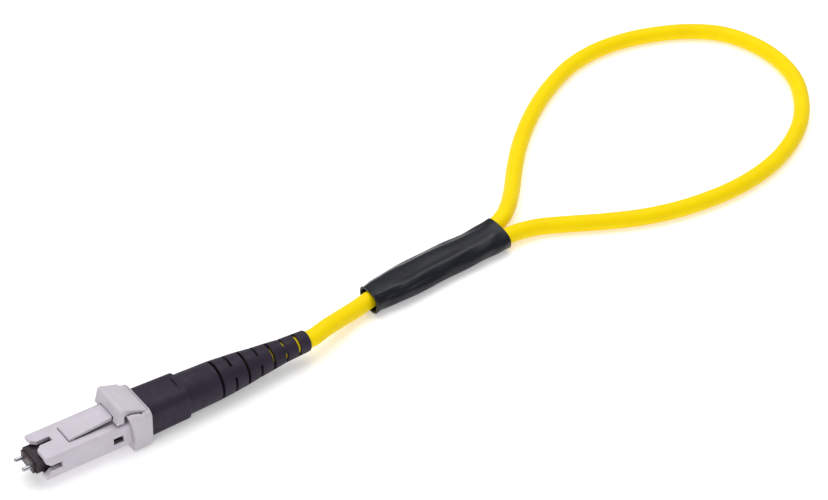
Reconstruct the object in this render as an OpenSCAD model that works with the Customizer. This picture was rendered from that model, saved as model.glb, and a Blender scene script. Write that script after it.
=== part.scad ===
// Fibre loopback plug: a small pinned plug for two fibres, with a press-down latch, whose cable
// runs into a heat-shrink sleeve, round a teardrop loop and back into the same sleeve.
//
// Frame: +X runs back along the plug from its mating end to its cable, +Z is up, and the latch
// is on top. The origin is under the middle of the plug, on the surface that it lies on.
// Stations along the plug are distances behind the front tips of the housing.

/* [Plug housing] */
// Width of the front housing
body_w = 7.15; // [6.9:0.05:7.3]
// Height of the front housing
body_h = 4.5; // [4.4:0.1:4.8]
// Width of the slots in the front end, top and sides
nose_slot_w = 1.0; // [0.6:0.1:1.2]
// Length of the slots in the front end
nose_slot_l = 2.8; // [2:0.1:3.2]

/* [Ferrule] */
// Width of the ferrule
ferrule_w = 4.4; // [4.3:0.05:4.5]
// Height of the ferrule
ferrule_h = 2.5; // [2.4:0.05:2.6]
// Distance between the two guide pins
pin_pitch = 2.6; // [2.4:0.1:2.8]
// Diameter of a guide pin
pin_d = 0.7; // [0.6:0.05:0.8]
// How far the pins stand out of the ferrule
pin_out = 1.55; // [1:0.05:2]

/* [Latch] */
// Width of the latch arm
arm_w = 3.8; // [3:0.1:4.2]
// Width of the trigger
trigger_w = 7.1; // [6.8:0.05:7.15]

/* [Collar and boot] */
// Width of the collar
collar_w = 9.0; // [8.6:0.1:9.4]
// Height of the collar
collar_h = 7.2; // [7:0.1:7.4]
// Length of the strain-relief boot behind the collar
boot_l = 34.1; // [33:0.1:36]
// Width of a bend slot in the boot
bend_slot_w = 0.55; // [0.4:0.05:0.7]

/* [Cable] */
// Outer diameter of the cable
cable_d = 3.0; // [2.8:0.1:3]
// Wall of the heat-shrink sleeve
sleeve_wall = 0.35; // [0.3:0.05:0.4]

/* [Hidden] */

$fn = 48;
eps = 0.01;

// Stations along the plug, measured back from the housing's front tips
face_t = -1.65;                      // front face of the ferrule
boot_t = 18.45;                      // back of the collar, where the boot starts
end_t = boot_t + boot_l;             // where the boot ends
overall_l = end_t - face_t + pin_out;
axis_z = collar_h / 2;               // height of the plug's centreline
front_x = -overall_l / 2 + pin_out - face_t; // place of station 0

// Places things given by station and height above the centreline
module plug_frame() { translate([front_x, 0, axis_z]) children(); }

// A bar along X from station t0 to t1, centred on the centreline, with rounded edges
module bar(t0, t1, w, h, r = 0) {
    translate([t0, 0, 0]) rotate([90, 0, 90]) linear_extrude(t1 - t0) rounded(w, h, r);
}

// A rectangle with rounded corners, from discs and strips so that its arcs stay true
module rounded(w, h, r) {
    if (r <= 0) {
        square([w, h], center = true);
    } else {
        square([w - 2 * r, h], center = true);
        square([w, h - 2 * r], center = true);
        for (i = [-1, 1], j = [-1, 1]) translate([i * (w / 2 - r), j * (h / 2 - r)]) circle(r);
    }
}

// A round bar along X from station t0 to t1
module rod(t0, t1, d) { translate([t0, 0, 0]) rotate([0, 90, 0]) cylinder(h = t1 - t0, d = d); }

// A solid cut from a side outline in (station, height), w wide
module side_cut(w, points) {
    rotate([90, 0, 0]) translate([0, 0, -w / 2]) linear_extrude(w) polygon(points);
}

// ---------------------------------------------------------------- front housing

housing_end_t = 17.6;                // back of the housing, inside the collar
run_gap = 0.05;                      // clearance round what slides or turns
bore_w = ferrule_w + 2 * run_gap;    // guideway of the ferrule
bore_h = ferrule_h + 2 * run_gap;
shoulder_t = 5.0;                    // stop for the ferrule's shoulder
cavity_w = 5.6;                      // room for the spring and its holder
cavity_h = 3.3;
window_t = 11.8;
window_l = 1.9;
window_h = 1.2;
window_z = -0.95;                    // middle of the windows
mouth_bevel = 0.35;
bed_t = 6.0;                         // start of the bed under the latch arm
bed_depth = 0.25;
top_z = body_h / 2;                  // top face of the housing

module front_housing() {
    color("gainsboro") plug_frame() difference() {
        union() {
            bar(0, housing_end_t, body_w, body_h, 0.45);
            // rails that guide the plug, along both lower edges
            for (s = [-1, 1]) translate([0, s * (body_w / 2 - 0.8), -top_z])
                bar(6.5, 14.2, 0.8, 0.3, 0.1);
        }
        // guideway of the ferrule and the chamber behind it
        bar(-1, shoulder_t + eps, bore_w, bore_h);
        bar(shoulder_t, housing_end_t + 1, cavity_w, cavity_h, 0.3);
        // slots that part the nose into four fingers
        translate([-1, -nose_slot_w / 2, 0])
            cube([nose_slot_l + 1, nose_slot_w, body_h]);
        translate([-1, -body_w, -nose_slot_w / 2])
            cube([nose_slot_l + 1, 2 * body_w, nose_slot_w]);
        // bevels round the nose and its mouth
        for (s = [-1, 1]) {
            translate([0, 0, s * bore_h / 2]) rotate([0, 45, 0])
                cube([mouth_bevel, bore_w, mouth_bevel], center = true);
            translate([0, s * body_w / 2, 0]) rotate([0, 0, 45])
                cube([mouth_bevel, mouth_bevel, body_h + 1], center = true);
        }
        // windows that catch the spring holder's lugs
        translate([window_t, -body_w, window_z - window_h / 2])
            cube([window_l, 2 * body_w, window_h]);
        // seat of the latch arm's root, and the shallow bed that the pressed arm sinks into
        across_rod(arm_pivot_t, arm_pivot_z, 2 * (arm_knuckle_r + run_gap), arm_w + 4 * run_gap);
        translate([bed_t, -arm_w / 2 - 0.15, top_z - bed_depth])
            cube([arm_end_t + 0.4 - bed_t, arm_w + 0.3, 1]);
    }
}

// A round bar across the plug, centred on station t at height z
module across_rod(t, z, d, w) {
    translate([t, 0, z]) rotate([90, 0, 0]) cylinder(h = w, d = d, center = true);
}

// ---------------------------------------------------------------- latch and trigger

arm_knuckle_r = 0.35;
arm_pivot_t = 5.4;                   // where the latch arm bends, at its root
arm_pivot_z = top_z + 0.08;
arm_end_t = 14.3;
arm_under_z = top_z + 0.7;           // underside of the arm's free end
arm_top_z = top_z + 1.25;            // top of the arm's free end

module latch_arm() {
    color("gainsboro") plug_frame() union() {
        across_rod(arm_pivot_t, arm_pivot_z, 2 * arm_knuckle_r, arm_w);
        difference() {
            side_cut(arm_w, [
                [arm_pivot_t, arm_pivot_z - 0.1],
                [arm_pivot_t + 0.6, top_z + 0.05],
                [arm_end_t - 0.9, arm_under_z],
                [arm_end_t, arm_under_z + 0.1],
                [arm_end_t, arm_top_z - 0.1],
                [arm_end_t - 0.9, arm_top_z],
                [11.2, arm_top_z - 0.1],
                [10.6, top_z + 1.02],
                [arm_pivot_t, arm_pivot_z + arm_knuckle_r],
            ]);
            // the free end narrows under the trigger
            for (s = [-1, 1]) translate([arm_end_t, s * (arm_w / 2 + 0.5), arm_under_z])
                rotate([0, 0, s * 25]) cube([3, 1.4, 3], center = true);
        }
    }
}

trigger_t = 13.15;                   // front face of the trigger
trigger_top_z = top_z + 3.1;
trigger_bottom_z = top_z + 0.53;
trigger_wall = 0.8;
hinge_t = 17.1;                      // where the trigger bends, at its rear
hinge_z = top_z + 0.65;
knuckle_r = 0.55;
notch_z = arm_top_z + 0.12;          // top of the notch that the latch arm goes through

module trigger() {
    color("whitesmoke") plug_frame() difference() {
        union() {
            across_rod(hinge_t, hinge_z, 2 * knuckle_r, trigger_w);
            side_cut(trigger_w, concat(
                // rounded front edge of the top
                [for (a = [180:-15:75]) [
                    trigger_t + 0.6 + 0.6 * cos(a),
                    trigger_top_z - 0.6 + 0.6 * sin(a)
                ]],
                [
                    [hinge_t + knuckle_r * cos(62), hinge_z + knuckle_r * sin(62)],
                    [hinge_t - 0.35, hinge_z - 0.4],
                    [trigger_t + trigger_wall + 0.5, trigger_top_z - 1.2],
                    [trigger_t + trigger_wall, trigger_top_z - 1.7],
                    [trigger_t + trigger_wall, trigger_bottom_z + 0.1],
                    [trigger_t + trigger_wall - 0.15, trigger_bottom_z],
                    [trigger_t + 0.1, trigger_bottom_z],
                    [trigger_t, trigger_bottom_z + 0.1],
                ]
            ));
        }
        // notch for the latch arm
        translate([trigger_t - 1, -arm_w / 2 - 0.2, trigger_bottom_z - 1])
            cube([4, arm_w + 0.4, 1 + notch_z - trigger_bottom_z]);
        // softened edges along both sides of the top
        for (s = [-1, 1]) translate([trigger_t - 1, s * trigger_w / 2, trigger_top_z + 0.4])
            rotate([0, atan((trigger_top_z - hinge_z - knuckle_r) / (hinge_t - trigger_t)), 0])
                rotate([45, 0, 0]) cube([14, 0.5, 0.5], center = true);
    }
}

// ---------------------------------------------------------------- collar

collar_r = 1.2;                      // corner radius of the collar
ear_t = 14.4;                        // front tips of the ears beside the trigger
ear_z = top_z + 2.05;
pocket_gap = 0.2;                    // room beside the trigger
slot_end_r = 0.28;                   // round end of the slot beside the trigger
sweep_r = 17.6;                      // radius of the hollow front edge of the sides
sweep_t = 15.55;                     // its rearmost station, and the height of that
sweep_z = -1.8;

module rear_collar() {
    color("whitesmoke") plug_frame() difference() {
        union() {
            bar(ear_t, boot_t - 0.3, collar_w, collar_h, collar_r);
            bar(boot_t - 0.3 - eps, boot_t, collar_w - 0.4, collar_h - 0.4, collar_r - 0.1);
            // ears that rise beside the trigger
            intersection() {
                bar(ear_t, boot_t - 0.5, collar_w, 2 * ear_z, collar_r);
                side_cut(collar_w, [
                    [ear_t, 2], [ear_t, ear_z], [hinge_t + 0.3, collar_h / 2 - 0.1],
                    [hinge_t + 0.3, 2],
                ]);
            }
        }
        // seat of the front housing
        bar(ear_t - 1, housing_end_t, body_w, body_h, 0.45);
        // passage for the cable parts behind it
        rod(housing_end_t - 1, boot_t + 1, tail_d + 2 * run_gap);
        // hollow front edge of both sides
        across_rod(sweep_t - sweep_r, sweep_z, 2 * sweep_r, 2 * collar_w, $fn = 120);
        // pocket that the trigger moves in, and the seat of its hinge
        pocket_w = trigger_w + 2 * pocket_gap;
        translate([ear_t - 1, -pocket_w / 2, top_z]) cube([hinge_t - ear_t + 1, pocket_w, 4]);
        translate([hinge_t - eps, -pocket_w / 2, hinge_z])
            cube([knuckle_r * 0.7, pocket_w, 4]);
        across_rod(hinge_t, hinge_z, 2 * (knuckle_r + run_gap), pocket_w);
        across_rod(hinge_t + 0.25, collar_h / 2 - slot_end_r, 2 * slot_end_r, 2 * collar_w);
    }
}

// ---------------------------------------------------------------- ferrule group

ferrule_l = 6.6;                     // the narrow front part
ferrule_back_t = face_t + 8.0;
shoulder_w = 5.2;
shoulder_h = 3.0;

module guide_pin(side) {
    color("silver") plug_frame() translate([0, side * pin_pitch / 2, 0]) {
        rod(face_t - pin_out + 0.2, ferrule_back_t, pin_d);
        translate([face_t - pin_out, 0, 0]) rotate([0, 90, 0])
            cylinder(h = 0.2, d1 = pin_d - 0.3, d2 = pin_d);
        // waist that the keeper grips
        rod(ferrule_back_t, ferrule_back_t + 0.6, pin_d - 0.15);
        rod(ferrule_back_t + 0.6, ferrule_back_t + 1.0, pin_d);
    }
}
module guide_pin_left() { guide_pin(-1); }
module guide_pin_right() { guide_pin(1); }

module ferrule() {
    color([0.13, 0.09, 0.10]) plug_frame() difference() {
        union() {
            bar(face_t + 0.45, face_t + ferrule_l, ferrule_w, ferrule_h, 0.15);
            bar(face_t, face_t + 0.45 + eps, ferrule_w - 0.5, ferrule_h - 0.35, 0.1);
            bar(face_t + ferrule_l + 0.1, ferrule_back_t, shoulder_w, shoulder_h, 0.2);
            bar(face_t + ferrule_l - eps, face_t + ferrule_l + 0.1 + eps, ferrule_w, ferrule_h);
        }
        for (s = [-1, 1]) translate([0, s * pin_pitch / 2, 0]) rod(face_t - 1, ferrule_back_t + 1, pin_d);
        // the two fibres' holes, and the pocket for the rubber boot behind them
        for (s = [-1, 1]) translate([0, s * fibre_pitch / 2, 0])
            rod(face_t - 1, ferrule_back_t + 1, fibre_d);
        bar(ferrule_back_t - 2.0, ferrule_back_t + 1, 1.5, 1.5);
    }
}

module pin_keeper() {
    color("dimgray") plug_frame() difference() {
        bar(ferrule_back_t, ferrule_back_t + 0.6, 4.9, 2.4, 0.2);
        for (s = [-1, 1]) translate([0, s * pin_pitch / 2, 0])
            rod(ferrule_back_t - 1, ferrule_back_t + 1, pin_d - 0.15);
        bar(ferrule_back_t - 1, ferrule_back_t + 1, 1.5, 1.4);
    }
}

fibre_d = 0.25;
fibre_pitch = 0.75;
fibre_end_t = 22.9;

module ferrule_boot() {
    color([0.2, 0.2, 0.2]) plug_frame() difference() {
        bar(ferrule_back_t - 2.0, ferrule_back_t + 1.6, 1.5, 1.4);
        for (s = [-1, 1]) translate([0, s * fibre_pitch / 2, 0])
            rod(ferrule_back_t - 3, ferrule_back_t + 2, fibre_d);
    }
}

module fibre_ends() {
    color([0.85, 0.9, 0.95]) plug_frame() for (s = [-1, 1])
        translate([0, s * fibre_pitch / 2, 0]) rod(face_t, fibre_end_t, fibre_d);
}

// ---------------------------------------------------------------- spring and its holder

spring_t0 = ferrule_back_t + 1.05;
spring_turns = 4;
spring_wire = 0.34;
spring_d = 2.7;                      // mean diameter of the coil
spring_l = 4.0;
push_t = spring_t0 + spring_l + spring_wire / 2;
tail_d = 5.0;                        // tail of the spring holder, behind the housing

// Point k of the coil's centreline
function coil_point(k, steps) = let (a = 360 * spring_turns * k / steps)
    [spring_t0 + spring_wire / 2 + (spring_l - spring_wire / 2) * k / steps,
     spring_d / 2 * cos(a), spring_d / 2 * sin(a)];

module ferrule_spring() {
    steps = spring_turns * 12;
    path = [for (k = [0:steps]) coil_point(k, steps)];
    color("silver") plug_frame() tube(path, spring_wire, 6, [1, 0, 0]);
}

module spring_push() {
    color("lightgray") plug_frame() difference() {
        union() {
            bar(push_t, 16.6, cavity_w - 0.1, cavity_h - 0.1, 0.3);
            // lugs that snap into the housing's windows
            for (s = [-1, 1]) translate([0, s * (cavity_w / 2 + 0.15), -0.95])
                bar(window_t + 0.1, window_t + window_l - 0.15, 0.6, window_h - 0.15);
            bar(16.6 - eps, housing_end_t, cavity_w - 0.1, cavity_h - 0.1, 0.3);
            rod(housing_end_t - eps, 19.1, tail_d);
            rod(19.1 - eps, 23.0, 4.0);
        }
        rod(push_t - 1, 24, 2.6);
    }
}

module aramid_yarn() {
    color("khaki") plug_frame() difference() {
        rod(19.2, 23.0, 4.4);
        rod(19.0, 24.0, 4.0);
    }
}

module crimp_sleeve() {
    color("darkgray") plug_frame() difference() {
        union() {
            rod(19.2, 23.2, 5.0);
            rod(23.2 - eps, 26.0, 3.9);
        }
        rod(19.0, 23.0, 4.4);
        rod(23.0 - eps, 27.0, cable_d + 0.06);
    }
}

// ---------------------------------------------------------------- boot

block_end_t = 26.6;                  // end of the boot's squarish front block
slot_pitch = (48.8 - 33.0) / 6;
first_slot_t = 33.0;
slot_arc = 143;                      // degrees that each bend slot runs round the boot

// Outer diameter of the boot's round part at station t
boot_stations = [block_end_t, 33.0, 35.6, 38.2, 41.0, 43.8, 46.3, 48.8, end_t];
boot_diameters = [7.1, 6.75, 6.35, 5.9, 5.2, 4.7, 4.1, 3.95, 3.9];
function boot_d(t) = lookup(t, [for (i = [0:len(boot_stations) - 1]) [boot_stations[i], boot_diameters[i]]]);

module strain_relief_boot() {
    color([0.12, 0.11, 0.13]) plug_frame() difference() {
        union() {
            boot_block();
            rotate([0, 90, 0]) rotate_extrude() polygon(concat(
                [[0, block_end_t - 1], [boot_d(block_end_t) / 2, block_end_t - 1]],
                [for (t = boot_stations) [boot_d(t) / 2, t]],
                [[0, end_t]]
            ));
        }
        rod(boot_t - 1, end_t + 1, cable_d + 0.16);
        rod(boot_t - 1, block_end_t, tail_d);
        for (i = [0:6]) bend_slots(first_slot_t + i * slot_pitch, i % 2 == 0 ? 135 : 45);
    }
}

// The squarish front block of the boot, which narrows a little to the rear
module boot_block() {
    hull() {
        bar(boot_t, boot_t + 0.1, 7.5, 6.6, 1.9, $fn = 32);
        bar(block_end_t - 0.1, block_end_t, 7.15, 6.4, 1.9, $fn = 32);
    }
}

// Two slots opposite each other, with the webs that join the boot centred on the given angle
module bend_slots(t, web_angle) {
    for (side = [0, 180]) rotate([web_angle + side + (180 - slot_arc) / 2, 0, 0])
        rotate([90, 0, 90]) translate([0, 0, t - bend_slot_w / 2])
            rotate_extrude(angle = slot_arc) square([6, bend_slot_w]);
}

// ---------------------------------------------------------------- cable and sleeve

// Route of the stem: from the crimp through the boot and into the sleeve
stem_route = [
    [-1, 0, 3.6], [27.9, 0, 3.6], [31.3, 1, 3.5], [34.9, 2.2, 2.9], [38.7, 3.4, 2.3],
    [42.3, 4.4, 2.1], [45.6, 4.9, 2.1], [48.5, 5.1, 2.1],
];

// Route of the loop: out of the sleeve, round, and back in beside its own start
loop_route = [
    [49.5, 6.7, 2], [55, 7.3, 2], [60.5, 7.7, 2.1],
    [66, 8, 2.4], [70.5, 8, 3], [74.2, 9, 3.3], [77, 11.1, 3], [79.7, 13.7, 2.5],
    [82.4, 16.7, 2], [86, 20.8, 1.7],
    [91, 26, 1.5], [96.5, 30.8, 1.5], [102.5, 35.2, 1.5], [109, 39, 1.5], [116, 42, 1.5],
    [123, 43.3, 1.5], [130, 43, 1.5], [136.5, 41.3, 1.5], [142.6, 38.4, 1.5], [147.5, 34, 1.5],
    [150, 28, 1.5], [150.4, 21.2, 1.5], [148.7, 14.5, 1.5], [145.2, 8.8, 1.5],
    [140.7, 3.9, 1.5], [135.3, 0, 1.5], [129.2, -3, 1.5], [122.8, -4.9, 1.5],
    [116, -5.8, 1.5], [109.3, -5.7, 1.5], [102.6, -4.8, 1.5], [96.2, -3, 1.5],
    [90, -0.3, 1.5], [84, 2.8, 1.5], [79, 5, 1.6], [74, 5.6, 1.9], [70.5, 5.1, 1.9],
    [66, 4.9, 1.9], [60.5, 4.6, 1.9], [55, 4.2, 1.9], [50, 3.6, 1.9],
];

function unit(v) = v / norm(v);
// Direction of travel at point i of a path
function heading(p, i) = unit(p[min(i + 1, len(p) - 1)] - p[max(i - 1, 0)]);
// A direction square to v that turns smoothly as v does
function across(v, up) = unit(cross(up, v));

// A tube of n sides swept along a path
module tube(path, d, n, up = [0, 0, 1]) {
    m = len(path);
    points = [for (i = [0:m - 1])
        let (v = heading(path, i), a = across(v, up), b = cross(v, a))
        for (j = [0:n - 1]) path[i] + d / 2 * (cos(360 * (j + 0.5) / n) * a + sin(360 * (j + 0.5) / n) * b)];
    sides = [for (i = [0:m - 2], j = [0:n - 1], half = [0, 1])
        [i * n + j, (i + half) * n + (j + 1) % n,
            half == 0 ? (i + 1) * n + (j + 1) % n : (i + 1) * n + j]];
    polyhedron(points, concat(sides, [[for (j = [n - 1:-1:0]) j]], [[for (j = [0:n - 1]) (m - 1) * n + j]]));
}

module stem_cable() { color([0.98, 0.85, 0.05]) tube(stem_route, cable_d, 8); }
module loop_cable() { color([0.98, 0.85, 0.05]) tube(loop_route, cable_d, 8); }

// Sections of the heat-shrink sleeve: middle x, y, z, then width, height and lean in degrees
sleeve_sections = [
    [42, 4.3, 2.1, 6.2, 4.1, 0], [43, 4.5, 2, 5.6, 3.9, 0], [45.5, 4.8, 2.1, 6.5, 4.1, 0],
    [49, 5.1, 2.2, 7.1, 4.3, 0], [55, 5.7, 2.15, 7.1, 4.2, 0], [61, 6.2, 2.1, 7, 4.1, 3],
    [66, 6.5, 2.25, 6.9, 4, 8], [70.5, 6.6, 2.5, 6.8, 3.9, 22], [73, 6.9, 2.6, 6.9, 4, 28],
];

// Points round section s of the sleeve, brought in by the given amount
function sleeve_ring(i, inset, n) = let (
    s = sleeve_sections[i],
    m = len(sleeve_sections) - 1,
    d = sleeve_sections[min(i + 1, m)] - sleeve_sections[max(i - 1, 0)],
    v = unit([d[0], d[1], 0]),
    side = [-v[1], v[0], 0]
) [for (j = [0:n - 1]) let (
    a = 360 * (j + 0.5) / n,
    p = (s[3] / 2 - inset) * cos(a),
    q = (s[4] / 2 - inset) * sin(a)
) [s[0], s[1], s[2]]
    + side * (p * cos(s[5]) - q * sin(s[5])) + [0, 0, p * sin(s[5]) + q * cos(s[5])]];

// A closed skin over rings of n points each
module skin(rings, n) {
    m = len(rings);
    points = [for (r = rings) each r];
    sides = [for (i = [0:m - 2], j = [0:n - 1], half = [0, 1])
        [i * n + j, half == 0 ? (i + 1) * n + j : (i + 1) * n + (j + 1) % n,
            (i + 1 - half) * n + (j + 1) % n]];
    polyhedron(points, concat(sides, [[for (j = [0:n - 1]) j]],
        [[for (j = [n - 1:-1:0]) (m - 1) * n + j]]));
}

module heat_shrink_sleeve() {
    sides = 24;
    last = len(sleeve_sections) - 1;
    color([0.1, 0.1, 0.12]) difference() {
        skin([for (i = [0:last]) sleeve_ring(i, 0, sides)], sides);
        skin([for (i = [0:last]) [for (q = sleeve_ring(i, sleeve_wall, sides))
            q + (i == 0 ? -1 : i == last ? 1 : 0) * eps
                * unit(sleeve_point(last) - sleeve_point(0))]], sides);
    }
}

function sleeve_point(i) = [for (k = [0:2]) sleeve_sections[i][k]];

front_housing();
latch_arm();
rear_collar();
trigger();
ferrule();
guide_pin_left();
guide_pin_right();
pin_keeper();
ferrule_boot();
fibre_ends();
ferrule_spring();
spring_push();
crimp_sleeve();
aramid_yarn();
strain_relief_boot();
stem_cable();
loop_cable();
heat_shrink_sleeve();
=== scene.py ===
import bpy
import bmesh
import math
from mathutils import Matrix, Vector


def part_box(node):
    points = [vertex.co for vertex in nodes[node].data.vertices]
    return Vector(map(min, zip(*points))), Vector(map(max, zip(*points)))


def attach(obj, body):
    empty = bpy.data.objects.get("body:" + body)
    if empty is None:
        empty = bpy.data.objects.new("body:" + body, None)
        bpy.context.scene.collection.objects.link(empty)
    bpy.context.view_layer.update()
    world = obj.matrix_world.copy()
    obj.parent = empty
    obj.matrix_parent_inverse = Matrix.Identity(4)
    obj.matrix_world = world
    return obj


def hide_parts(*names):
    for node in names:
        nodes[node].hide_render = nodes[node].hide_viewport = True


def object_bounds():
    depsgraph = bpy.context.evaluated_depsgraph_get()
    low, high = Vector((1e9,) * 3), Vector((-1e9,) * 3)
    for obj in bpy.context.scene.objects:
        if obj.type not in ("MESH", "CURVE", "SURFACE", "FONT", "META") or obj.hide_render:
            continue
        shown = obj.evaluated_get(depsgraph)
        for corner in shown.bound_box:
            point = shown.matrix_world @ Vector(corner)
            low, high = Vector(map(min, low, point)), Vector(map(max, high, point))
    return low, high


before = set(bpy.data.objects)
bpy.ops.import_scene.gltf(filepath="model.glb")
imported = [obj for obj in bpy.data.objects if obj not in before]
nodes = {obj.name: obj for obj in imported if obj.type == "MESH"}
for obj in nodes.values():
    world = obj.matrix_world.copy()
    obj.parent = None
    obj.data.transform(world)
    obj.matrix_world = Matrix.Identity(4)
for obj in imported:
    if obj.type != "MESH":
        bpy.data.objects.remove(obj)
cad_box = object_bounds()
scene = bpy.context.scene
MM = 0.001

# ------------------------------------------------------------------ camera
CAMERA_AT = Vector((-0.15194, -0.27087, 0.27705))
LOOKS_AT = Vector((0.04604, 0.02180, 0.0))
SENSOR = 36.0
LENS = 110.70
SHIFT = 0.1014

camera = bpy.data.objects.new("camera", bpy.data.cameras.new("camera"))
scene.collection.objects.link(camera)
camera.data.sensor_width = SENSOR
camera.data.lens = LENS
camera.data.shift_x = SHIFT
camera.data.clip_start = 0.01
camera.data.clip_end = 10.0
camera.location = CAMERA_AT
camera.rotation_mode = "QUATERNION"
camera.rotation_quaternion = (LOOKS_AT - CAMERA_AT).to_track_quat("-Z", "Y")
scene.camera = camera
scene.view_settings.view_transform = "Standard"


# ------------------------------------------------------------------ paths
def spline_point(p, i, u):
    """Point at share u of the stretch from p[i] to p[i + 1], on a smooth curve through all of p."""
    a, b = p[max(i - 1, 0)], p[i]
    c, d = p[i + 1], p[min(i + 2, len(p) - 1)]
    return [
        0.5 * (2 * b[k] + (c[k] - a[k]) * u + (2 * a[k] - 5 * b[k] + 4 * c[k] - d[k]) * u * u
               + (3 * b[k] - a[k] - 3 * c[k] + d[k]) * u ** 3)
        for k in range(len(b))
    ]


def smooth(p, steps):
    """Smooth curve through p, with that many points to a stretch."""
    out = [spline_point(p, i, k / steps) for i in range(len(p) - 1) for k in range(steps)]
    return out + [list(p[-1])]


# ------------------------------------------------------------------ cables
CABLE_D = 3.0
CABLE_SIDES = 40
STEM_ROUTE = [
    [-1, 0, 3.6], [27.9, 0, 3.6], [31.3, 1, 3.5], [34.9, 2.2, 2.9], [38.7, 3.4, 2.3],
    [42.3, 4.4, 2.1], [45.6, 4.9, 2.1], [48.5, 5.1, 2.1],
]
LOOP_ROUTE = [
    [49.5, 6.7, 2], [55, 7.3, 2], [60.5, 7.7, 2.1],
    [66, 7.9, 2.1], [70.5, 8.15, 2.4], [74.2, 9.2, 2.9], [77, 11.2, 2.8], [79.7, 13.8, 2.4],
    [82.4, 16.7, 2], [86, 20.8, 1.7],
    [91, 26, 1.5], [96.5, 30.8, 1.5], [102.5, 35.2, 1.5], [109, 39, 1.5], [116, 42, 1.5],
    [123, 43.3, 1.5], [130, 43, 1.5], [136.5, 41.3, 1.5], [142.6, 38.4, 1.5], [147.5, 34, 1.5],
    [150, 28, 1.5], [150.4, 21.2, 1.5], [148.7, 14.5, 1.5], [145.2, 8.8, 1.5],
    [140.7, 3.9, 1.5], [135.3, 0, 1.5], [129.2, -3, 1.5], [122.8, -4.9, 1.5],
    [116, -5.8, 1.5], [109.3, -5.7, 1.5], [102.6, -4.8, 1.5], [96.2, -3, 1.5],
    [90, -0.3, 1.5], [84, 2.8, 1.5], [79, 5, 1.6], [74, 5.6, 1.9], [70.5, 5.1, 1.9],
    [66, 4.9, 1.9], [60.5, 4.6, 1.9], [55, 4.2, 1.9], [50, 3.6, 1.9],
]


def tube_mesh(name, points, radius, sides):
    """A closed round tube along the points, in millimetres."""
    bm = bmesh.new()
    up = Vector((0, 0, 1))
    rings = []
    for i, at in enumerate(points):
        ahead = Vector(points[min(i + 1, len(points) - 1)]) - Vector(points[max(i - 1, 0)])
        side = up.cross(ahead).normalized()
        over = ahead.normalized().cross(side)
        ring = []
        for j in range(sides):
            angle = 2 * math.pi * j / sides
            out = radius * (math.cos(angle) * side + math.sin(angle) * over)
            ring.append(bm.verts.new((Vector(at) + out) * MM))
        rings.append(ring)
    for a, b in zip(rings, rings[1:]):
        for j in range(sides):
            k = (j + 1) % sides
            bm.faces.new((a[j], a[k], b[k], b[j]))
    bm.faces.new(list(reversed(rings[0])))
    bm.faces.new(rings[-1])
    bmesh.ops.recalc_face_normals(bm, faces=bm.faces)
    mesh = bpy.data.meshes.new(name)
    bm.to_mesh(mesh)
    bm.free()
    mesh.shade_smooth()
    return mesh


def cable(name, points, node):
    """A round cable along the points, in millimetres, in place of a CAD node."""
    made = bpy.data.objects.new(name, tube_mesh(name, points, CABLE_D / 2, CABLE_SIDES))
    scene.collection.objects.link(made)
    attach(made, "plug")
    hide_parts(node)
    return made


# The stretch inside the plug is straight; from the boot on, the cable curves down to the floor
stem_points = [STEM_ROUTE[0]] + smooth(STEM_ROUTE[1:], 10)
loop_points = smooth(LOOP_ROUTE, 10)
stem = cable("stem_jacket", stem_points, "stem_cable")
loop = cable("loop_jacket", loop_points, "loop_cable")


# ------------------------------------------------------------------ materials
def material(name, base, rough, build=None, **sockets):
    """A procedural material. build varies the plain base colour and roughness given here."""
    m = bpy.data.materials.new(name)
    m.use_nodes = True
    tree = m.node_tree
    shader = tree.nodes["Principled BSDF"]
    shader.inputs["Base Color"].default_value = (*base, 1)
    shader.inputs["Roughness"].default_value = rough
    for key, value in sockets.items():
        shader.inputs[key.replace("_", " ")].default_value = value
    if build:
        build(tree, shader)
    return m


def noise(tree, scale, detail=3.0, rough=0.5):
    """Noise in object space, per metre."""
    coord = tree.nodes.new("ShaderNodeTexCoord")
    node = tree.nodes.new("ShaderNodeTexNoise")
    node.inputs["Scale"].default_value = scale
    node.inputs["Detail"].default_value = detail
    node.inputs["Roughness"].default_value = rough
    tree.links.new(coord.outputs["Object"], node.inputs["Vector"])
    return node.outputs["Fac"]


def ramp(tree, value, stops):
    """A colour ramp fed by the value. stops are (place, colour)."""
    node = tree.nodes.new("ShaderNodeValToRGB")
    elements = node.color_ramp.elements
    while len(elements) < len(stops):
        elements.new(0.5)
    for element, (place, colour) in zip(elements, stops):
        element.position = place
        element.color = (*colour, 1)
    tree.links.new(value, node.inputs["Fac"])
    return node.outputs["Color"]


def grey_ramp(tree, value, low, high, start=0.3, end=0.7):
    return ramp(tree, value, [(start, (low,) * 3), (end, (high,) * 3)])


def bump(tree, shader, height, distance):
    node = tree.nodes.new("ShaderNodeBump")
    node.inputs["Distance"].default_value = distance
    node.inputs["Strength"].default_value = 1.0
    tree.links.new(height, node.inputs["Height"])
    tree.links.new(node.outputs["Normal"], shader.inputs["Normal"])


# Painted shade for gaps: share of open sky above a point, and the darker tint painted into the colour there
PAINTED_SHADE_RAMP = [(0.12, (0.10, 0.07, 0.09)), (0.62, (1, 1, 1))]
GAP_SAMPLES = 8


def shaded_gaps(tree, colour, reach):
    """Paints shade into a colour: darkens it in narrow gaps and along inside corners. reach is in metres."""
    gaps = tree.nodes.new("ShaderNodeAmbientOcclusion")
    gaps.samples = GAP_SAMPLES
    gaps.inputs["Distance"].default_value = reach
    mix = tree.nodes.new("ShaderNodeMix")
    mix.data_type = "RGBA"
    mix.blend_type = "MULTIPLY"
    mix.inputs["Factor"].default_value = 1.0
    tree.links.new(colour, mix.inputs["A"])
    tree.links.new(ramp(tree, gaps.outputs["AO"], PAINTED_SHADE_RAMP), mix.inputs["B"])
    return mix.outputs["Result"]


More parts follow.
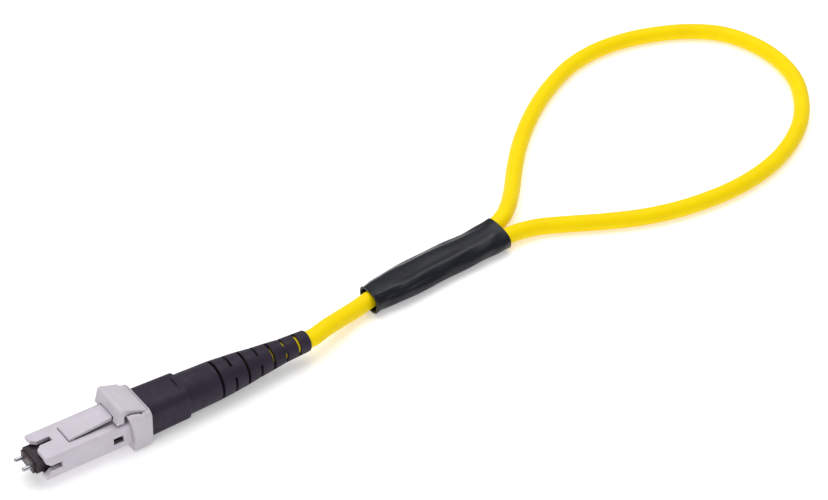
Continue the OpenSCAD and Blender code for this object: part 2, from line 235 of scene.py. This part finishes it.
def moulded(low, high, rough_low, rough_high, grain, depth, flow, gap=0.0):
    """Faint clouding of the colour, uneven gloss and a fine grain, plus painted shade in gaps and inside
    corners if gap is set. gap is shaded_gaps' reach, if any.
    """
    def build(tree, shader):
        clouds = ramp(tree, noise(tree, flow, 4.0, 0.6), [(0.3, low), (0.7, high)])
        # Painted shade: the colour is darkened in gaps and inside corners
        colour = shaded_gaps(tree, clouds, gap) if gap else clouds
        tree.links.new(colour, shader.inputs["Base Color"])
        patches = noise(tree, flow * 3.1, 3.0)
        tree.links.new(grey_ramp(tree, patches, rough_low, rough_high), shader.inputs["Roughness"])
        bump(tree, shader, noise(tree, grain, 2.0), depth)
    return build


# The housing gets painted shade in its gaps and inside corners: the last value given to moulded is its reach
housing_look = material(
    "housing_look", (0.6, 0.58, 0.61), 0.42,
    moulded((0.545, 0.50, 0.565), (0.605, 0.565, 0.63), 0.4, 0.54, 9000, 0.000012, 420, 0.0013),
    Subsurface_Weight=0.15, Subsurface_Scale=0.0006)
# The collar and trigger get painted shade in their gaps and inside corners: the last value given to moulded
# is its reach
collar_look = material(
    "collar_look", (0.6, 0.58, 0.61), 0.42,
    moulded((0.53, 0.50, 0.55), (0.59, 0.56, 0.61), 0.42, 0.56, 8000, 0.000012, 380, 0.0009),
    Subsurface_Weight=0.15, Subsurface_Scale=0.0006)
ferrule_look = material(
    "ferrule_look", (0.07, 0.045, 0.055), 0.3,
    moulded((0.014, 0.005, 0.010), (0.036, 0.018, 0.026), 0.3, 0.44, 14000, 0.000006, 1500),
    Specular_IOR_Level=0.35)
boot_look = material(
    "boot_look", (0.035, 0.028, 0.042), 0.55,
    moulded((0.016, 0.010, 0.024), (0.026, 0.018, 0.036), 0.5, 0.66, 11000, 0.00001, 260),
    Specular_IOR_Level=0.25)
cable_look = material(
    "cable_look", (0.94, 0.68, 0.003), 0.38,
    moulded((0.93, 0.675, 0.0), (0.97, 0.735, 0.0), 0.42, 0.54, 5200, 0.000014, 180),
    Specular_IOR_Level=0.1)
shrink_look = material(
    "shrink_look", (0.012, 0.012, 0.018), 0.25,
    moulded((0.004, 0.005, 0.009), (0.009, 0.010, 0.017), 0.24, 0.36, 2600, 0.00002, 240),
    Specular_IOR_Level=0.28)
rubber_look = material(
    "rubber_look", (0.03, 0.03, 0.035), 0.7,
    moulded((0.025, 0.025, 0.03), (0.04, 0.04, 0.045), 0.6, 0.8, 9000, 0.00001, 900))
steel_look = material(
    "steel_look", (0.72, 0.71, 0.73), 0.22,
    moulded((0.36, 0.35, 0.38), (0.5, 0.49, 0.52), 0.22, 0.36, 22000, 0.000002, 3000),
    Metallic=1.0)
plate_look = material(
    "plate_look", (0.42, 0.42, 0.44), 0.35,
    moulded((0.36, 0.36, 0.38), (0.48, 0.48, 0.5), 0.28, 0.45, 12000, 0.000004, 1500),
    Metallic=1.0)
holder_look = material(
    "holder_look", (0.6, 0.6, 0.6), 0.45,
    moulded((0.012, 0.010, 0.013), (0.022, 0.018, 0.022), 0.4, 0.55, 8000, 0.00001, 400))
crimp_look = material(
    "crimp_look", (0.62, 0.6, 0.56), 0.3,
    moulded((0.56, 0.54, 0.5), (0.68, 0.66, 0.62), 0.25, 0.4, 15000, 0.000004, 1200),
    Metallic=1.0)
yarn_look = material(
    "yarn_look", (0.7, 0.5, 0.12), 0.8,
    moulded((0.6, 0.42, 0.09), (0.78, 0.58, 0.16), 0.7, 0.9, 6000, 0.00003, 2500))
fibre_look = material(
    "fibre_look", (0.8, 0.85, 0.9), 0.08,
    moulded((0.78, 0.84, 0.9), (0.84, 0.88, 0.92), 0.05, 0.12, 9000, 0.000001, 2000),
    Transmission_Weight=0.8, IOR=1.46)

LOOKS = {
    "front_housing": housing_look, "latch_arm": housing_look,
    "rear_collar": collar_look, "trigger": collar_look,
    "ferrule": ferrule_look, "guide_pin_left": steel_look, "guide_pin_right": steel_look,
    "pin_keeper": plate_look, "ferrule_boot": rubber_look, "fibre_ends": fibre_look,
    "ferrule_spring": steel_look, "spring_push": holder_look, "crimp_sleeve": crimp_look,
    "aramid_yarn": yarn_look, "strain_relief_boot": boot_look,
    "stem_cable": cable_look, "loop_cable": cable_look, "heat_shrink_sleeve": shrink_look,
}
for name, look in LOOKS.items():
    mesh = nodes[name].data
    mesh.materials.clear()
    mesh.materials.append(look)
stem.data.materials.append(cable_look)
loop.data.materials.append(cable_look)


# ------------------------------------------------------------------ heat-shrink sleeve
# Sections of the sleeve: middle x, y, z, then width, height and lean in degrees
SLEEVE_SECTIONS = [
    [42.2, 4.35, 2.15, 5.7, 4.1, 0], [43.0, 4.45, 2.1, 5.4, 4.0, 0], [45.5, 4.8, 2.1, 6.1, 4.0, 0],
    [49, 5.1, 2.1, 6.8, 4.05, 0], [55, 5.75, 2.0, 6.85, 3.9, 1], [61, 6.15, 2.0, 6.85, 3.8, 3],
    [66, 6.4, 2.0, 6.8, 3.75, 4], [69.5, 6.6, 2.1, 6.8, 3.75, 7], [71.8, 6.8, 2.2, 6.8, 3.75, 11],
]
SLEEVE_WALL = 0.35
SLEEVE_FULLNESS = 0.84
# The mouth is cut aslant, its near side further forward; the slant has gone by this share of the length
MOUTH_SLANT = 0.17
SLANT_REACH = 0.12
SLEEVE_SIDES = 120
SLEEVE_STEPS = 16
LOWEST_Z = 0.02
RIPPLE = 0.05
FOLD_FADE = 0.12

# Folds along the sleeve: angle, drift and width in degrees, height, and the shares of the length
# where it starts and ends
FOLDS = [
    (128, -26, 13, 0.16, 0.42, 1.0), (96, 14, 15, -0.10, 0.3, 0.95), (66, -10, 16, 0.11, 0.0, 0.62),
    (152, 16, 11, -0.09, 0.1, 0.6), (40, 12, 14, -0.10, 0.35, 1.0), (20, -8, 12, 0.08, 0.1, 0.7),
    (112, 20, 9, 0.08, 0.05, 0.45), (-30, 10, 18, 0.08, 0.2, 0.9), (200, -12, 16, 0.09, 0.15, 0.8),
    (250, 10, 20, -0.06, 0.0, 1.0),
]

sections = smooth(SLEEVE_SECTIONS, SLEEVE_STEPS)


def fold_height(share, angle):
    """How far the sleeve's surface stands out, in millimetres: long soft folds over a faint ripple."""
    height = RIPPLE * math.sin(9 * share + 3 * angle) * math.sin(23 * share + angle)
    for start, drift, width, tall, first, last in FOLDS:
        off = (math.degrees(angle) - start - drift * share + 180) % 360 - 180
        begun = min(1, max(0, (share - first) / FOLD_FADE))
        left = min(1, max(0, (last - share) / FOLD_FADE))
        height += tall * (begun * left) * math.exp(-(off / width) ** 2)
    return height


def full(value):
    """A sine or cosine made fuller, which turns an ellipse into the outline of a sleeve over two cables."""
    return math.copysign(abs(value) ** SLEEVE_FULLNESS, value)


def sleeve_ring(i, inset):
    """Points round the sleeve at a section, that far inside its outer surface."""
    x, y, z, width, height, lean = sections[i]
    a = sections[max(i - 1, 0)]
    b = sections[min(i + 1, len(sections) - 1)]
    v = Vector((b[0] - a[0], b[1] - a[1], 0)).normalized()
    side = Vector((-v.y, v.x, 0))
    lean = math.radians(lean)
    share = i / (len(sections) - 1)
    ring = []
    for j in range(SLEEVE_SIDES):
        angle = 2 * math.pi * j / SLEEVE_SIDES
        p = full(math.cos(angle)) * (width / 2 - inset)
        q = full(math.sin(angle)) * (height / 2 - inset)
        swell = 1 + fold_height(share, angle) / (height / 2)
        p, q = p * swell, q * swell
        at = Vector((x, y, z)) + side * (p * math.cos(lean) - q * math.sin(lean))
        at.z += p * math.sin(lean) + q * math.cos(lean)
        at.x += MOUTH_SLANT * p * max(0.0, 1 - share / SLANT_REACH)
        ring.append(at)
    return ring


def sleeve():
    """The sleeve's outer surface, then back along its inner one."""
    count = len(sections)
    rings = [sleeve_ring(i, 0) for i in range(count)]
    rings += [sleeve_ring(i, SLEEVE_WALL) for i in reversed(range(count))]
    bm = bmesh.new()
    loops = [[bm.verts.new(Vector((p.x, p.y, max(p.z, LOWEST_Z))) * MM) for p in ring] for ring in rings]
    for a, b in zip(loops, loops[1:] + loops[:1]):
        for j in range(SLEEVE_SIDES):
            k = (j + 1) % SLEEVE_SIDES
            bm.faces.new((a[j], a[k], b[k], b[j]))
    bmesh.ops.recalc_face_normals(bm, faces=bm.faces)
    mesh = bpy.data.meshes.new("shrink_sleeve")
    bm.to_mesh(mesh)
    bm.free()
    mesh.shade_smooth()
    mesh.materials.append(shrink_look)
    made = bpy.data.objects.new("shrink_sleeve", mesh)
    scene.collection.objects.link(made)
    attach(made, "plug")
    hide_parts("heat_shrink_sleeve")


sleeve()


# ------------------------------------------------------------------ plug
# Stations run back from the housing's front tips; heights and widths are from the plug's centreline
HOUSING_LOW, HOUSING_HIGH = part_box("front_housing")
FRONT_X = HOUSING_LOW.x / MM
AXIS_Z = (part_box("ferrule")[0].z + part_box("ferrule")[1].z) / 2 / MM
BODY_W = (HOUSING_HIGH.y - HOUSING_LOW.y) / MM
TOP = 2.25
SHELL_BACK = 17.6
SHELL_CORNER = 0.45
COLLAR_W = 9.0
COLLAR_H = 7.2
COLLAR_BACK = 18.95


def add_solid(name, rings):
    """A closed solid lofted through rings of points (station, across, height)."""
    bm = bmesh.new()
    loops = [[bm.verts.new(Vector((t + FRONT_X, y, z + AXIS_Z)) * MM) for t, y, z in ring] for ring in rings]
    count = len(loops[0])
    for a, b in zip(loops, loops[1:]):
        for j in range(count):
            k = (j + 1) % count
            bm.faces.new((a[j], a[k], b[k], b[j]))
    bm.faces.new(list(reversed(loops[0])))
    bm.faces.new(loops[-1])
    bmesh.ops.recalc_face_normals(bm, faces=bm.faces)
    mesh = bpy.data.meshes.new(name)
    bm.to_mesh(mesh)
    bm.free()
    made = bpy.data.objects.new(name, mesh)
    scene.collection.objects.link(made)
    return made


def arc(cx, cy, r, start, end, steps=6):
    """Points of an arc, its angles in degrees."""
    angles = [math.radians(start + (end - start) * k / steps) for k in range(steps + 1)]
    return [(cx + r * math.cos(a), cy + r * math.sin(a)) for a in angles]


def circle(d, sides, cx=0.0, cy=0.0):
    """Points round a circle."""
    return arc(cx, cy, d / 2, 0, 360 - 360 / sides, sides - 1)


def rounded(w, h, r, cy=0.0, cz=0.0, steps=6):
    """Points round a rectangle with rounded corners."""
    x, z = w / 2 - r, h / 2 - r
    corners = ((x, z, 0), (-x, z, 90), (-x, -z, 180), (x, -z, 270))
    points = []
    for a, b, start in corners:
        points += arc(cy + a, cz + b, r, start, start + 90, steps)
    return points


def bar(name, t0, t1, outline):
    """A bar along the plug of one cross-section."""
    return add_solid(name, [[(t, y, z) for y, z in outline] for t in (t0, t1)])


def box(name, t0, t1, y0, y1, z0, z1):
    return bar(name, t0, t1, [(y0, z0), (y1, z0), (y1, z1), (y0, z1)])


def across(name, w, outline):
    """A bar across the plug with one side outline of (station, height)."""
    return add_solid(name, [[(t, y, z) for t, z in outline] for y in (-w / 2, w / 2)])


def combine(target, tools, how):
    """Joins or cuts target with the tool solids, which are then removed."""
    for tool in tools:
        step = target.modifiers.new(how, "BOOLEAN")
        step.operation = how
        step.solver = "EXACT"
        step.object = tool
    graph = bpy.context.evaluated_depsgraph_get()
    shaped = bpy.data.meshes.new_from_object(target.evaluated_get(graph))
    target.modifiers.clear()
    target.data = shaped
    for tool in tools:
        bpy.data.objects.remove(tool)


WELD = 0.000002
FLAT_ANGLE = math.radians(1.0)
EDGE_ANGLE = math.radians(28)


def finish_plastic(piece, look, node, edge_width, body):
    """Rounds the edges of a moulded piece, sets its look and body, and hides the CAD node that it replaces.
    """
    bm = bmesh.new()
    bm.from_mesh(piece.data)
    bmesh.ops.remove_doubles(bm, verts=bm.verts, dist=WELD)
    bmesh.ops.dissolve_limit(bm, angle_limit=FLAT_ANGLE, verts=bm.verts, edges=bm.edges)
    bm.to_mesh(piece.data)
    bm.free()
    edge = piece.modifiers.new("edge", "BEVEL")
    edge.width = edge_width * MM
    edge.segments = 3
    edge.limit_method = "ANGLE"
    edge.angle_limit = EDGE_ANGLE
    edge.harden_normals = True
    piece.data.shade_smooth()
    piece.data.materials.clear()
    piece.data.materials.append(look)
    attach(piece, body)
    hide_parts(node)


# The nose slots run back from the tips; those in the top and bottom sit to opposite sides of the middle
NOSE_SLOT_L = 3.1
NOSE_SLOT_W = 1.05
NOSE_FLARE = 0.75
NOSE_FLARE_L = 0.85
NOSE_SLOT_Y = 0.5
MOUTH_W = 5.3
MOUTH_H = 3.0
CHAMBER_W = 5.6
CHAMBER_H = 3.3
WINDOW_T = (12.1, 13.95)
WINDOW_Z = -0.25
WINDOW_H = 1.25
RAIL_T = (6.5, 14.2)
RAIL_W = 0.8
# Recess under the latch arm: stations, width and depth, and the same for the thin root in front of it
ARM_SEAT_T = (6.0, 14.7)
ARM_SEAT_W = 4.1
ARM_SEAT_DEPTH = 0.25
ARM_ROOT_T = (4.98, 6.05)
ARM_ROOT_W = 4.0
ARM_ROOT_DEPTH = 0.32


def flared(centre, half, reach):
    """Outline of a nose slot: (station, offset), with a funnel at its open end."""
    return [
        (-0.5, centre - half - NOSE_FLARE), (0.0, centre - half - NOSE_FLARE),
        (NOSE_FLARE_L, centre - half), (reach, centre - half),
        (reach, centre + half), (NOSE_FLARE_L, centre + half),
        (0.0, centre + half + NOSE_FLARE), (-0.5, centre + half + NOSE_FLARE),
    ]


def nose_slot(y, z0, z1):
    """A tool that cuts a slot through the top or the bottom of the nose."""
    outline = flared(y, NOSE_SLOT_W / 2, NOSE_SLOT_L)
    return add_solid("cut", [[(a, b, z) for a, b in outline] for z in (z0, z1)])


def front_housing():
    shell = bar("front_shell", 0, SHELL_BACK, rounded(BODY_W, 2 * TOP, SHELL_CORNER))
    rails = [
        bar("rail", *RAIL_T, rounded(RAIL_W, 0.3, 0.1, side * (BODY_W / 2 - RAIL_W), -TOP))
        for side in (-1, 1)
    ]
    combine(shell, rails, "UNION")
    cuts = [
        box("cut", -1, 5.0, -MOUTH_W / 2, MOUTH_W / 2, -MOUTH_H / 2, MOUTH_H / 2),
        bar("cut", 4.9, 19, rounded(CHAMBER_W, CHAMBER_H, 0.3)),
        nose_slot(NOSE_SLOT_Y, 0.0, 4.0),
        nose_slot(-NOSE_SLOT_Y, -4.0, -1.0),
        across("cut", 12, flared(0, NOSE_SLOT_W / 2, NOSE_SLOT_L - 0.3)),
        box("cut", *WINDOW_T, -5, 5, WINDOW_Z - WINDOW_H / 2, WINDOW_Z + WINDOW_H / 2),
        box("cut", *ARM_SEAT_T, -ARM_SEAT_W / 2, ARM_SEAT_W / 2, TOP - ARM_SEAT_DEPTH, TOP + 1),
        box("cut", *ARM_ROOT_T, -ARM_ROOT_W / 2, ARM_ROOT_W / 2, TOP - ARM_ROOT_DEPTH, TOP + 1),
    ]
    combine(shell, cuts, "DIFFERENCE")
    finish_plastic(shell, housing_look, "front_housing", 0.11, "plug")


TRIGGER_W = 7.2
TRIGGER_FRONT = 13.4
TRIGGER_TOP = TOP + 3.33
TRIGGER_TOE = 0.55
TRIGGER_ROUND = 0.55
TRIGGER_BACK = 18.5
RIM_TOP = COLLAR_H / 2
ARM_NOTCH_W = 4.2


def trigger():
    r = TRIGGER_ROUND
    outline = arc(TRIGGER_FRONT + r, TRIGGER_TOP - r, r, 180, 75) + [
        (TRIGGER_BACK - 0.4, RIM_TOP + 0.12),
        (TRIGGER_BACK, RIM_TOP - 0.02),
        (TRIGGER_BACK, RIM_TOP - 0.55),
        (17.2, RIM_TOP - 1.1),
        (16.6, RIM_TOP - 1.0),
        (14.4, TRIGGER_TOP - 1.35),
        (TRIGGER_FRONT + 0.85, TRIGGER_TOP - 1.9),
        (TRIGGER_FRONT + 0.8, TOP + 0.62),
        (TRIGGER_FRONT + 0.65, TOP + 0.53),
        (TRIGGER_FRONT - TRIGGER_TOE + 0.1, TOP + 0.53),
        (TRIGGER_FRONT - TRIGGER_TOE, TOP + 0.63),
    ]
    flap = across("trigger_flap", TRIGGER_W, outline)
    notch = box("cut", 12, 14.6, -ARM_NOTCH_W / 2, ARM_NOTCH_W / 2, 0, TOP + 1.37)
    combine(flap, [notch], "DIFFERENCE")
    finish_plastic(flap, collar_look, "trigger", 0.14, "trigger")


EAR_T = 14.4
EAR_TOP = TOP + 2.05
# Beside the trigger, the gap is wide in front of GAP_END_T and a fine seam behind it
GAP_END_T = 17.1
SIDE_GAP = 0.3
SEAM = 0.04
# Front edge of the collar's sides: an arc seen from the side
SWEEP_R = 17.6
SWEEP_T = 15.55
SWEEP_Z = -1.8


def pillar(t, y, d, z0, z1):
    """An upright round tool, for the end of a gap beside the trigger."""
    return add_solid("cut", [[(a, b, z) for a, b in circle(d, 24, t, y)] for z in (z0, z1)])


def collar():
    shell = add_solid("collar_shell", [
        [(t, y, z) for y, z in rounded(COLLAR_W - 2 * c, COLLAR_H - 2 * c, 1.2 - c / 2)]
        for t, c in ((EAR_T, 0), (COLLAR_BACK - 0.3, 0), (COLLAR_BACK, 0.28))
    ])
    ears = across("ears", COLLAR_W, [
        (EAR_T, 1.8), (EAR_T, EAR_TOP), (EAR_T + 0.9, EAR_TOP), (SHELL_BACK, RIM_TOP - 0.05),
        (SHELL_BACK, 1.8),
    ])
    combine(shell, [ears], "UNION")
    wide = TRIGGER_W / 2 + SIDE_GAP
    close = TRIGGER_W / 2 + SEAM
    cuts = [
        bar("cut", EAR_T - 1, SHELL_BACK, rounded(BODY_W + 0.02, 2 * TOP + 0.02, SHELL_CORNER)),
        bar("cut", 17, 20, rounded(5.1, 5.1, 2.5)),
        across("cut", 20, arc(SWEEP_T - SWEEP_R, SWEEP_Z, SWEEP_R, -60, 60, 60)),
        box("cut", EAR_T - 1, GAP_END_T, -wide, wide, TOP, 9),
        box("cut", GAP_END_T - 0.05, TRIGGER_BACK + SEAM, -close, close, TOP + 0.1, 9),
        pillar(GAP_END_T, -wide + 0.1, 2 * SIDE_GAP, 2.6, 6),
        pillar(GAP_END_T, wide - 0.1, 2 * SIDE_GAP, 2.6, 6),
    ]
    combine(shell, cuts, "DIFFERENCE")
    finish_plastic(shell, collar_look, "rear_collar", 0.12, "plug")


# Stations and outer diameters of the boot's round part
BOOT = [
    (25.6, 7.1), (26.6, 7.1), (33.0, 6.75), (35.6, 6.35), (38.2, 5.9), (41.0, 5.2), (43.8, 4.7),
    (46.3, 4.15), (48.8, 3.9), (51.0, 3.75), (51.15, 3.45),
]
# Stations, widths and heights of its squarish front
BOOT_BLOCK = [(COLLAR_BACK, 7.5, 6.6), (26.45, 7.15, 6.4), (26.6, 6.9, 6.15)]
BOOT_BORE = CABLE_D + 0.12
BOOT_WIDE_BORE = 5.0
BOOT_SIDES = 48
FIRST_SLOT_T = 33.0
BOOT_SLOT_PAIRS = 7
BOOT_SLOT_PITCH = 2.633
BOOT_SLOT_W = 0.5
BOOT_SLOT_ARC = 143


def boot_slots():
    """Pairs of bend slots, each pair turned by a quarter from the one before."""
    cuts = []
    for i in range(BOOT_SLOT_PAIRS):
        t = FIRST_SLOT_T + i * BOOT_SLOT_PITCH
        for web in (45, 225):
            start = web + 90 * (i % 2) + (180 - BOOT_SLOT_ARC) / 2
            wedge = [(0, 0)] + arc(0, 0, 6, start, start + BOOT_SLOT_ARC, 12)
            cuts.append(bar("cut", t - BOOT_SLOT_W / 2, t + BOOT_SLOT_W / 2, wedge))
    return cuts


def boot():
    block = add_solid("boot_shell", [
        [(t, y, z) for y, z in rounded(w, h, 1.9, steps=10)]
        for t, w, h in BOOT_BLOCK
    ])
    taper = add_solid("taper", [
        [(t, y, z) for y, z in circle(d, BOOT_SIDES)]
        for t, d in BOOT
    ])
    combine(block, [taper], "UNION")
    bore = bar("cut", 18, 52, circle(BOOT_BORE, BOOT_SIDES))
    wide_bore = bar("cut", 18, 26.0, circle(BOOT_WIDE_BORE, BOOT_SIDES))
    combine(block, [bore, wide_bore] + boot_slots(), "DIFFERENCE")
    finish_plastic(block, boot_look, "strain_relief_boot", 0.07, "plug")


front_housing()
trigger()
collar()
boot()


# ------------------------------------------------------------------ floor and light
FLOOR_SIZE = 6.0
FLOOR_GLOW = 0.3
WORLD_LIGHT = 0.42

half = FLOOR_SIZE / 2
floor_corners = [(-half, -half, 0), (half, -half, 0), (half, half, 0), (-half, half, 0)]
floor_mesh = bpy.data.meshes.new("floor")
floor_mesh.from_pydata(floor_corners, [], [(0, 1, 2, 3)])
floor = bpy.data.objects.new("floor", floor_mesh)
scene.collection.objects.link(floor)
floor_mesh.materials.append(material(
    "floor_look", (0.9, 0.9, 0.9), 0.6, Emission_Color=(1, 1, 1, 1), Emission_Strength=FLOOR_GLOW))

world = bpy.data.worlds.new("studio")
world.use_nodes = True
scene.world = world
background = world.node_tree.nodes["Background"]
background.inputs["Color"].default_value = (1, 1, 1, 1)
background.inputs["Strength"].default_value = WORLD_LIGHT


def softbox(name, at, target, size, power):
    data = bpy.data.lights.new(name, "AREA")
    data.shape = "RECTANGLE"
    data.size, data.size_y = size
    data.energy = power
    made = bpy.data.objects.new(name, data)
    scene.collection.objects.link(made)
    made.location = at
    made.rotation_mode = "QUATERNION"
    made.rotation_quaternion = (Vector(target) - Vector(at)).to_track_quat("-Z", "Y")


middle = (cad_box[0] + cad_box[1]) / 2
softbox("top_box", middle + Vector((0.05, 0.15, 0.55)), middle, (0.7, 0.5), 2.7)
softbox("side_box", middle + Vector((-0.5, -0.35, 0.35)), middle, (0.4, 0.4), 1.0)


bpy.context.view_layer.update()
